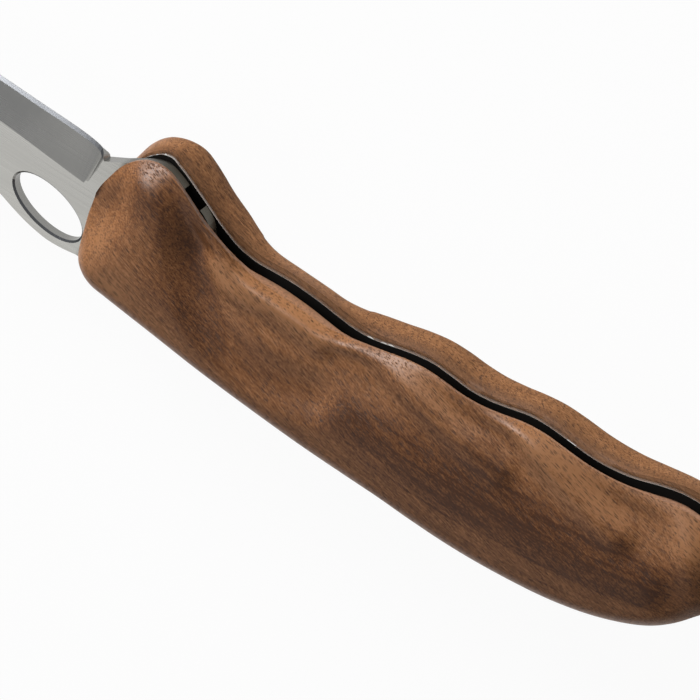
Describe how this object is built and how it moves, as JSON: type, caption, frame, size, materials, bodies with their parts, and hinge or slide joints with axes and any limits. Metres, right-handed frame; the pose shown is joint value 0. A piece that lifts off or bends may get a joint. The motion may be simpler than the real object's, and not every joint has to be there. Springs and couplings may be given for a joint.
{
  "type": "folding knife",
  "caption": "Open back-lock folding hunting knife with contoured walnut scales, a guard, finger grooves, an oval thumb hole in the blade and a fold-out lanyard loop.",
  "frame": {"origin": "On the axis of the blade's pivot, in the plane of the far scale's outer face, on which the knife lies.", "axes": "+X along the handle towards the blade's point, +Y from the cutting edge towards the spine, +Z across the handle towards the pictured side."},
  "size_m": [0.2331, 0.0344, 0.02],
  "materials": {
    "walnut_near": "oiled walnut, open pores, satin",
    "walnut_far": "oiled walnut, open pores, satin",
    "blade_steel": "fine satin, polished edge",
    "liner_steel": "polished edges",
    "spring_steel": "satin",
    "bronze": "machined bronze"
  },
  "bodies": {
    "handle": {"near_scale": "walnut_near", "far_scale": "walnut_far", "near_liner": "liner_steel", "far_liner": "liner_steel", "pivot_bush": "bronze", "pivot_rivet": "spring_steel", "near_pivot_washer": "bronze", "far_pivot_washer": "bronze", "lock_rivet": "spring_steel", "lock_spring": "spring_steel", "back_spacer": "spring_steel", "front_spacer_rivet": "spring_steel", "rear_spacer_rivet": "spring_steel", "loop_rivet": "spring_steel", "near_front_scale_pin": "bronze", "near_rear_scale_pin": "bronze", "far_front_scale_pin": "bronze", "far_rear_scale_pin": "bronze"},
    "blade": {"blade": "blade_steel"},
    "lock": {"lock_bar": "spring_steel"},
    "loop": {"lanyard_loop": "liner_steel"}
  },
  "joints": [
    {"name": "blade_pivot", "type": "hinge", "parent": "handle", "child": "blade", "pos_m": [0, 0, 0.01], "axis": [0, 0, 1], "range_deg": [-180, 0]},
    {"name": "lock_rocker", "type": "hinge", "parent": "handle", "child": "lock", "pos_m": [-0.035, 0.0135, 0.01], "axis": [0, 0, 1], "range_deg": [-3.6, 0], "stiffness_Nm_per_rad": 0.5, "springref_deg": -8.59},
    {"name": "loop_pivot", "type": "hinge", "parent": "handle", "child": "loop", "pos_m": [-0.103, 0.0098, 0.01], "axis": [0, 0, 1], "range_deg": [-90, 0]}
  ]
}
